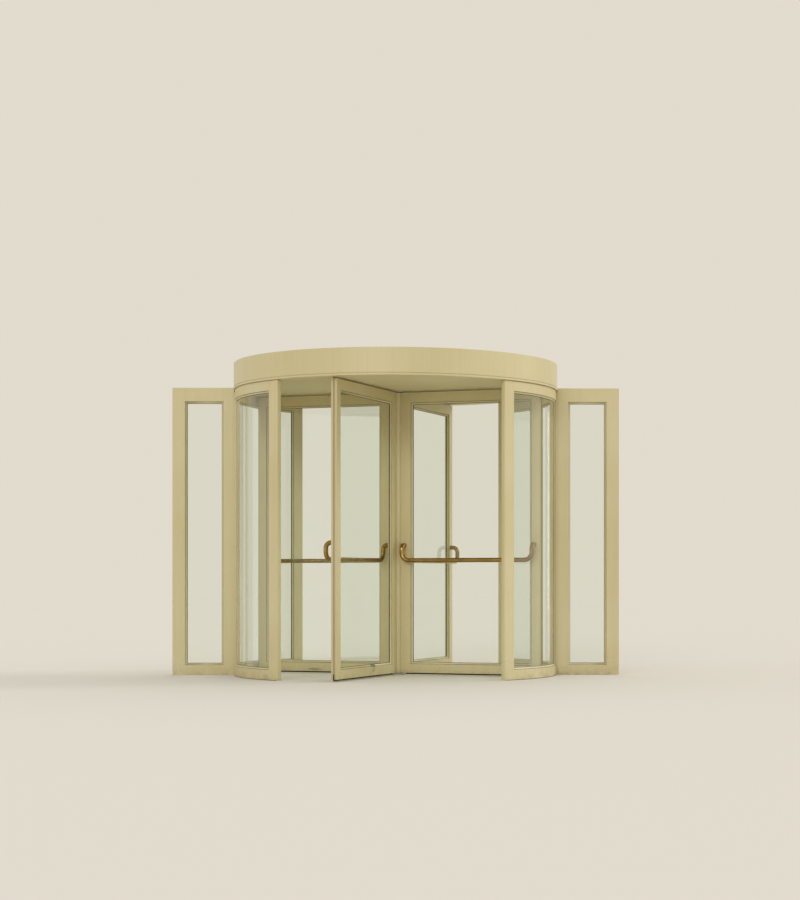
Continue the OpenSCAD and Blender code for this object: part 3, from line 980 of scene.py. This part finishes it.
seal = {
    "floorGap": 0.005,    # from the lower tips to the floor
    "ceilingGap": 0.005,
    "outer": 1.194,
    "footHigh": 0.055,    # the outer strip is black up to here and pale above
    "lowerStart": 0.080,
    "upperStart": 0.100,
    "thick": 0.006,
    "edge": 0.0003,       # small radius on the strips
    "hair": 0.00005,      # between a carrier strip and the wing's edge
    "under": 0.0004,      # between the outer carrier and its groove's floor
    "inset": 0.001,       # how far cores start later, and the outer tufts stop short
    "core": 0.0034,       # thickness of the woven backing inside the pile
    "coreShort": 0.0016,  # how far the backing ends before the tips
    "coreShortAbove": 0.0012,
    "carrier": 0.0012,    # how far the carrier strip shows past the wing's edge
    "pitch": 0.0030,
    "tuft": 0.00085,      # radius at a tuft's root
    "tip": 0.45,          # share of that radius at its tip
    "shortest": 0.90,     # share of the full length
    "uneven": 0.0007,     # how far roots stray along the row
    "lean": 0.0012,       # how far tips lean along the row, and across it
    "leanAcross": 0.0004,
    "rows": (-0.0021, 0.0, 0.0021),
}


def tuftRow(start, end, height, out, along):
    # tapered three-sided tufts between two points: a tip is its root plus the way out times a
    # seeded random length, plus a small lean
    count = int(np.linalg.norm(end - start) / seal["pitch"])
    share = (np.arange(count) + 0.5) / count
    foot = start + (end - start) * share[:, None]
    stray = lambda most: rng.uniform(-most, most, (count, 1))
    foot = foot + stray(seal["uneven"]) * along
    reach = height * rng.uniform(seal["shortest"], 1.0, (count, 1))
    lean = stray(seal["lean"]) * along
    across = np.cross(out, along)
    tip = foot + out * reach + lean
    tip = tip + across * stray(seal["leanAcross"])
    angle = np.arange(3) * 2 * pi / 3
    ring = (np.cos(angle)[:, None] * along + np.sin(angle)[:, None] * across) * seal["tuft"]
    return np.stack([foot[:, None] + ring, tip[:, None] + ring * seal["tip"]], axis=1)


def shellsOfTufts(rows):
    # three-sided prisms, with their root and tip faces as caps
    rings = np.concatenate(rows)
    return repeated(shellOf(rings[0]), rings.reshape(len(rings), -1, 3))


def sealShells():
    # strips of one wing in its own x and z: black below, above and at the outer foot, else pale
    # every strip is a carrier, a woven core and rows of tufts
    shows, out = seal["carrier"], wing["outer"]
    low, high, far = wing["low"] - shows, wing["high"] + shows, out + shows
    bottom, top, end = seal["floorGap"], door["ceiling"] - seal["ceilingGap"], seal["outer"]
    half, core, foot = seal["thick"] / 2, seal["core"] / 2, seal["footHigh"]
    lowerStart, upperStart, short = seal["lowerStart"], seal["upperStart"], seal["coreShort"]
    coreTop, root = top - seal["coreShortAbove"], out - wing["grooveDeep"] + seal["under"]
    hair, inset = seal["hair"], seal["inset"]
    x, z = np.array([1.0, 0, 0]), np.array([0, 0, 1.0])
    strip = lambda first, last, wide: rectangle(first, last, -wide, wide, seal["edge"], 2)
    black = [
        level(strip(low, wing["low"] - hair, half), lowerStart, out),
        level(strip(wing["high"] + hair, high, half), upperStart, out),
        level(strip(bottom + short, low, core), lowerStart + inset, out),
        level(strip(high, coreTop, core), upperStart + inset, out),
        upright(strip(root, far, half), low, foot),
        upright(strip(far, end - short, core), bottom + short, foot),
    ]
    pale = [
        upright(strip(root, far, half), foot + door["joint"], high),
        upright(strip(far, end - short, core), foot + door["joint"], coreTop),
    ]
    blackTufts, paleTufts = [], []
    for row in seal["rows"]:
        at = lambda along, height: x * along + z * height + np.array([0, row, 0])
        blackTufts.append(tuftRow(at(lowerStart, low), at(out, low), low - bottom, -z, x))
        blackTufts.append(tuftRow(at(upperStart, high), at(out, high), top - high, z, x))
        blackTufts.append(tuftRow(at(far, bottom + inset), at(far, foot), end - far, x, z))
        paleTufts.append(tuftRow(at(far, foot), at(far, top - inset), end - far, x, z))
    return {"Seals": black + [shellsOfTufts(blackTufts)], "EdgeSeal": pale + [shellsOfTufts(paleTufts)]}


bar = {
    "radius": 0.017,
    "height": 0.888,  # centre line of the straight run
    "off": 0.062,     # from the wing's face to the centre line
    "inner": 0.080,
    "outer": 1.134,
    "rise": 0.118,
    "bendUp": 0.058,
    "bendBack": 0.040,
    "bendPoints": 13,
    "around": 28,
}


def barShell():
    # tube along a line on the wing: out from its face, down a bend, along, and back by mirror
    # the first stretch lies in the y-z plane and keeps x as its side; the next lies in x-z and keeps y
    # a ring's points are the line's plus the radius times cosine and sine on its two sides
    face, middle = -wing["thick"] / 2 - door["touch"], -wing["thick"] / 2 - bar["off"]
    count, inner, high, run = bar["bendPoints"], bar["inner"], bar["height"] + bar["rise"], bar["height"]
    back, up, quarter = bar["bendBack"], bar["bendUp"], np.linspace(0, pi / 2, bar["bendPoints"])
    first = np.concatenate([
        [(inner, face, high)],
        np.stack([np.full(count, inner), middle + back - back * np.sin(quarter),
                  high - back + back * np.cos(quarter)], axis=1),
    ])
    second = np.stack([inner + up - up * np.cos(quarter), np.full(count, middle),
                       run + up - up * np.sin(quarter)], axis=1)
    half = np.concatenate([first, second])
    line = np.concatenate([half, half[::-1] * (-1, 1, 1) + (inner + bar["outer"], 0, 0)])
    heading = unit(np.gradient(line, axis=0))
    heading[0], heading[-1] = (0, -1, 0), (0, 1, 0)
    inFirst = np.arange(len(line)) < len(first)
    sideway = np.where(inFirst[::-1, None], (-1.0, 0, 0), np.cross((0, -1.0, 0), heading))
    sideway = unit(np.where(inFirst[:, None], (1.0, 0, 0), sideway))
    other = np.cross(heading, sideway)
    angle = np.linspace(0, 2 * pi, bar["around"], endpoint=False)[None, :, None]
    ring = np.cos(angle) * sideway[:, None] + np.sin(angle) * other[:, None]
    along = np.concatenate([[0], np.cumsum(np.linalg.norm(np.diff(line, axis=0), axis=1))])
    return {**shellOf(line[:, None] + ring * bar["radius"]), "stripes": tubeStripes(along)}


def tubeStripes(along):
    # texture place of each corner of the tube's faces: metres along it and round it
    i, j = np.meshgrid(np.arange(len(along) - 1), np.arange(bar["around"]), indexing="ij")
    girth = 2 * pi * bar["radius"] / bar["around"]
    corners = [np.stack([along[i + ahead], (j + aside) * girth], -1)
               for ahead, aside in ((0, 0), (0, 1), (1, 1), (1, 0))]
    return np.stack(corners, axis=2).reshape(-1, 4, 2)


def buildRotor():
    panel = framedPanel(wing["inner"], wing["outer"], wing["low"], wing["high"], wing, groovedStile)
    parts, tube = {**panel, **sealShells()}, barShell()
    for number in wings:
        angle = wingAngle(number)
        finishes = {"Frame": wingPaint[number], "Gaskets": rubber, "Seals": blackPile, "EdgeSeal": palePile}
        nodes = {"Frame": [f"wing_{number}_frame"], "Seals": [f"wing_{number}_seals"]}
        makeParts(f"wing{number}", parts, lambda shells: turned(shells, angle), finishes, nodes, "rotor")
        makePiece(f"pushBar{number}", turned([tube], angle), bronze, [f"push_bar_{number}"], "rotor")


buildRotor()
print("rotor built")


# finishes of the pieces that stay as they are in the frame

keptNodes = {
    "centre_post": wingPaint[2],
    "floor_bearing": steel,
    "ceiling_bearing": steel,
    **{f"wing_{number}_glass": flatGlass for number in wings},
    "left_sidelight_glass": flatGlass,
    "right_sidelight_glass": flatGlass,
}
for node, (_, material) in keptNodes.items():
    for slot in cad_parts[node].material_slots:
        slot.material = material
print("kept nodes finished")
